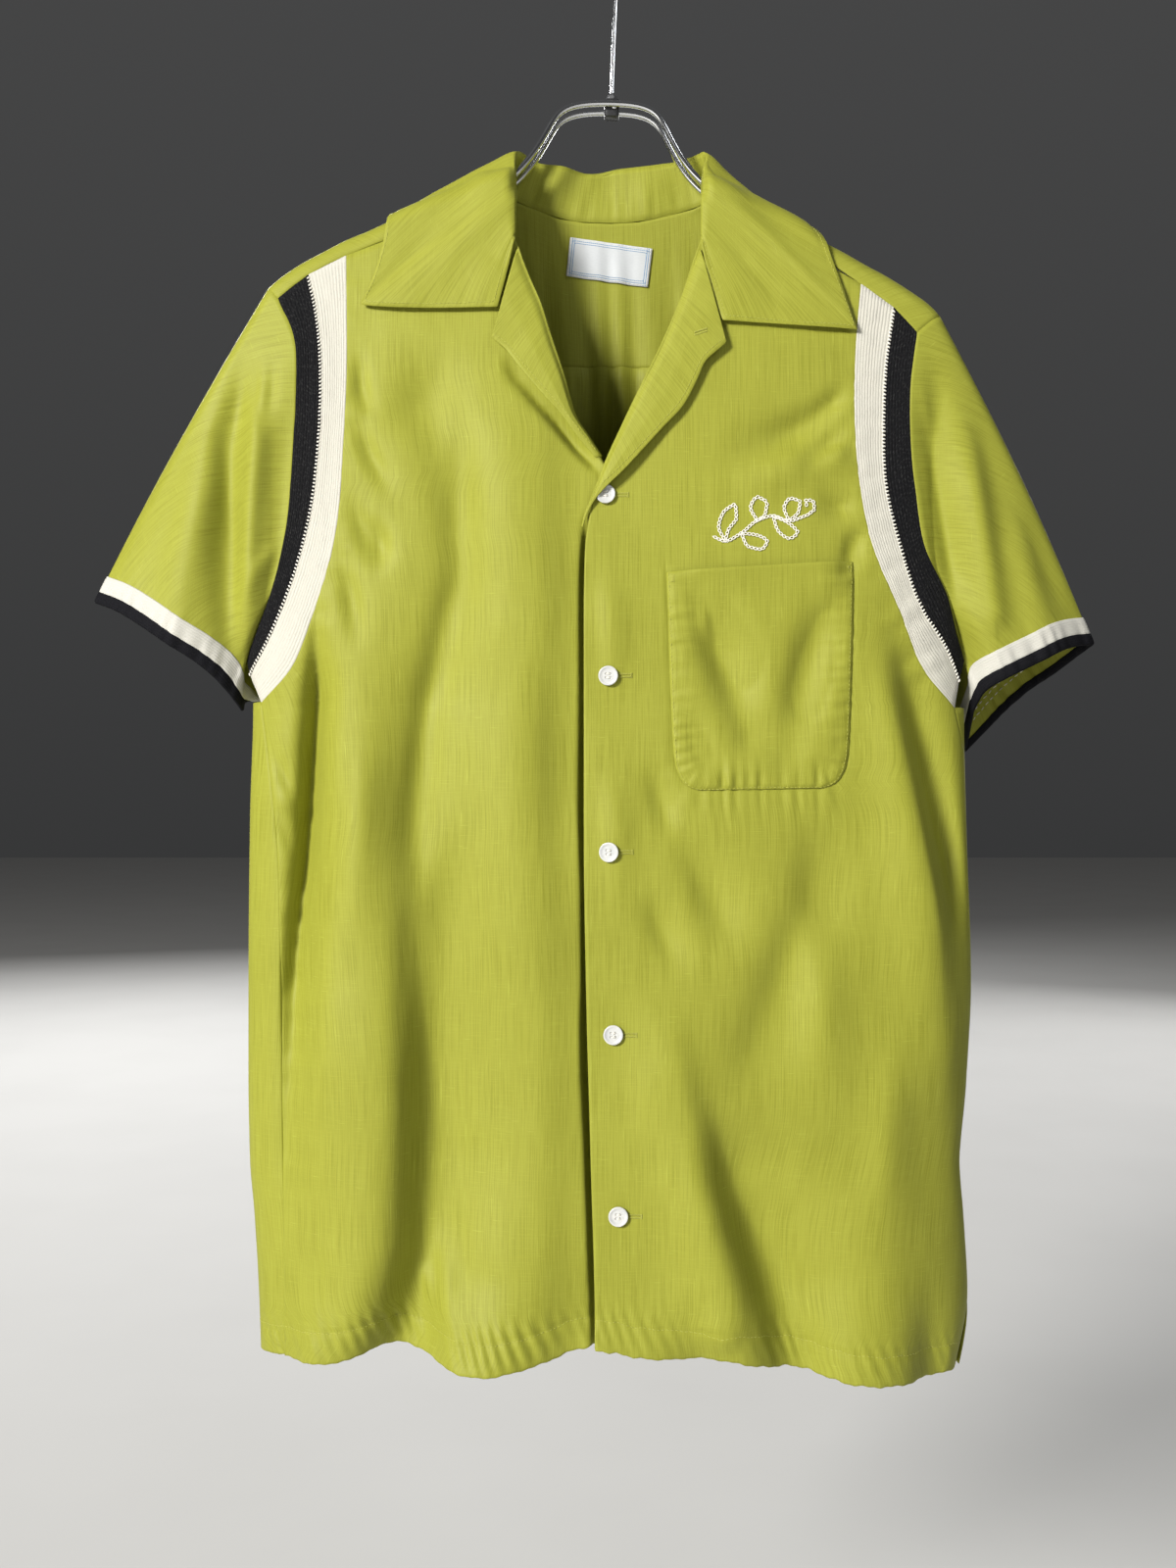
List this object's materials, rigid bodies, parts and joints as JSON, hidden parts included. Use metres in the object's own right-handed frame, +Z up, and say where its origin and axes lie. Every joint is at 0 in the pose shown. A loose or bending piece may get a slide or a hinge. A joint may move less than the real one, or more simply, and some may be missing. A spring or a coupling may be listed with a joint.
{
  "type": "bowling shirt on a hanger",
  "caption": "Short-sleeved bowling shirt with camp collar, chest pocket and banded armholes and cuffs, hanging buttoned on a wire hanger.",
  "frame": {"origin": "underside of the hanger hook's top bend, where it rests on a rail; the shirt hangs below it", "axes": "+Z up, -Y out of the shirt's front, +X toward the wearer's left (the pocket side); the rail runs along Y"},
  "size_m": [0.6502, 0.1262, 0.959],
  "materials": {
    "lime_cloth": "olive-lime slub broadcloth, matt with a slight satin sheen",
    "white_knit": "cream fine rib knit",
    "black_knit": "black fine rib knit",
    "white_tape": "white ribbed sleeve tape",
    "black_tape": "black ribbed sleeve tape",
    "pearl_button": "pearly white moulded plastic",
    "label_cloth": "woven satin label, plain",
    "chrome": "bright chrome plate",
    "dark_clip": "black lacquered clip block"
  },
  "bodies": {
    "root": {"back": "lime_cloth", "button_1": "pearl_button", "button_2": "pearl_button", "button_3": "pearl_button", "button_4": "pearl_button", "button_5": "pearl_button", "collar": "lime_cloth", "cuff_black_left": "black_tape", "cuff_black_right": "black_tape", "cuff_white_left": "white_tape", "cuff_white_right": "white_tape", "front_left": "lime_cloth", "front_right": "lime_cloth", "hanger_block": "dark_clip", "hanger_frame": "chrome", "hanger_hook": "chrome", "hanger_nut": "chrome", "insert_black_left": "black_knit", "insert_black_right": "black_knit", "insert_white_left": "white_knit", "insert_white_right": "white_knit", "lapel_left": "lime_cloth", "lapel_right": "lime_cloth", "neck_label": "label_cloth", "pocket": "lime_cloth", "sleeve_left": "lime_cloth", "sleeve_right": "lime_cloth", "yoke": "lime_cloth"}
  },
  "joints": []
}
